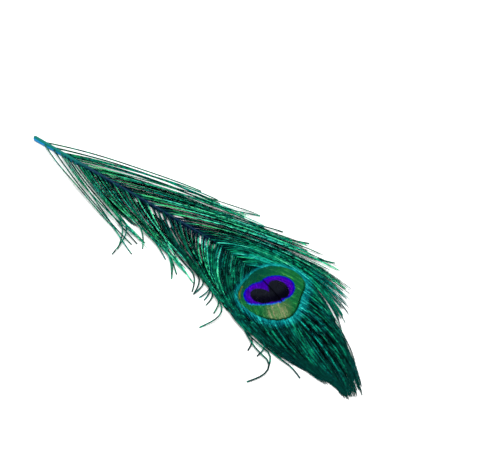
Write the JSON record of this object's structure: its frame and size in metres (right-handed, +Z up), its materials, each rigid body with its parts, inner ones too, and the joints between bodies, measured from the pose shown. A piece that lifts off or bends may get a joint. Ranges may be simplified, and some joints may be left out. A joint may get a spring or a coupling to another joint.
{
  "type": "peacock feather",
  "caption": "Dyed green peacock tail feather lying flat: bare tapering quill, loose fringed vane on each side and a closed vane near the tip that carries a ringed eye.",
  "frame": {"origin": "middle of the feather's bounding box, on the plane that it lies on", "axes": "+X from the quill's end towards the tip, along the straight part of the shaft; +Y to the left of someone who looks down on the front with the tip ahead; +Z up, out of the front side"},
  "size_m": [0.2914, 0.0918, 0.0029],
  "materials": {
    "barbs": "satin",
    "quill": "satin"
  },
  "bodies": {
    "root": {"feather": "barbs"}
  },
  "joints": []
}
